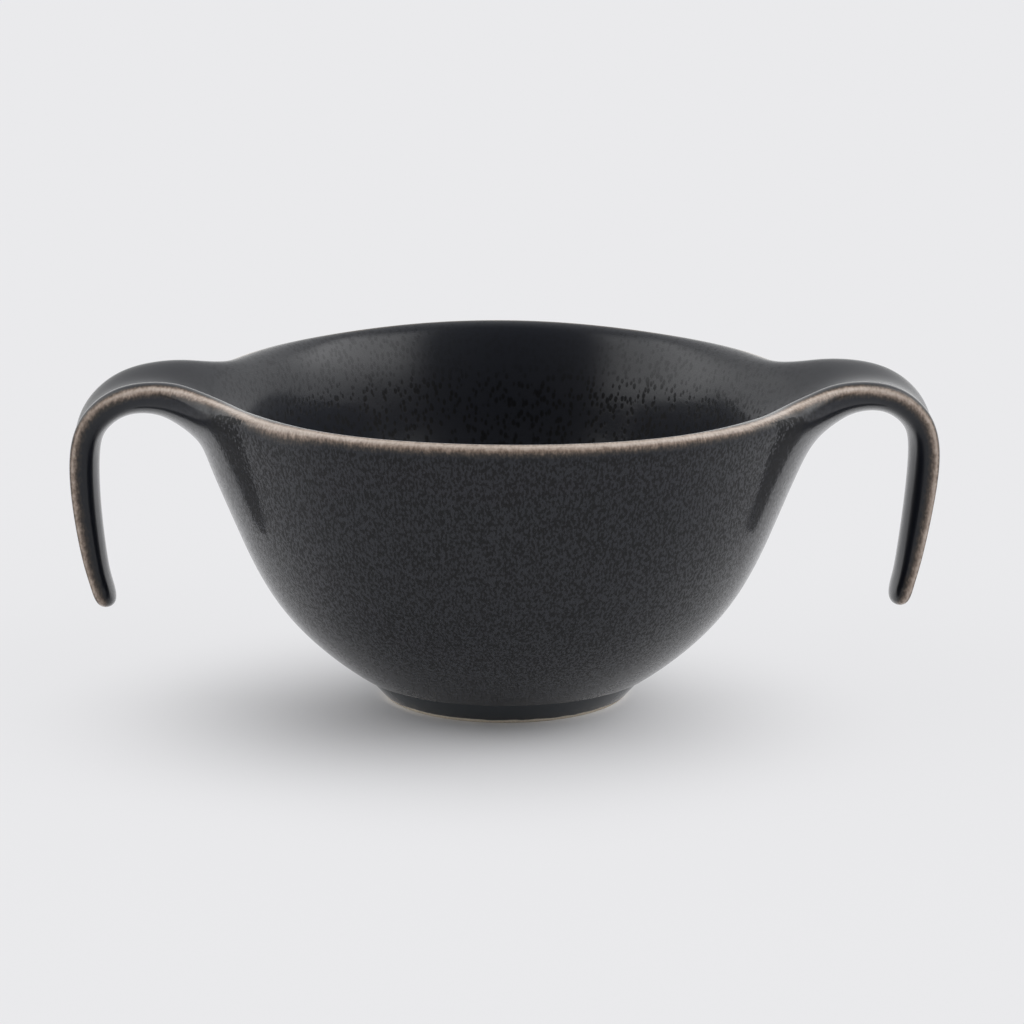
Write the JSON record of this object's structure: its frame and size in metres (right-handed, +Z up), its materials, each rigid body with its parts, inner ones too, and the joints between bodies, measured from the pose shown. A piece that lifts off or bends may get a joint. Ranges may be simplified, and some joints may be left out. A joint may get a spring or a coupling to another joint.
{
  "type": "bouillon bowl",
  "caption": "Round footed soup bowl in dark speckled stoneware glaze, with strap handles that flow out of the rim, arch over and hang free to rounded tips.",
  "frame": {"origin": "on the table plane, under the bowl's axis", "axes": "+X through the right handle, +Y towards the back, +Z up the bowl's axis"},
  "size_m": [0.168, 0.1158, 0.0641],
  "materials": {
    "body_glaze": "satin charcoal glaze with fine dark speckle, breaking to brown on the lip",
    "foot_glaze": "satin charcoal glaze, bare clay on the tread",
    "handle_glaze": "satin charcoal glaze, breaking to brown along the edges"
  },
  "bodies": {
    "root": {"bowl_body": "body_glaze", "foot_ring": "foot_glaze", "left_handle": "handle_glaze", "right_handle": "handle_glaze"}
  },
  "joints": []
}
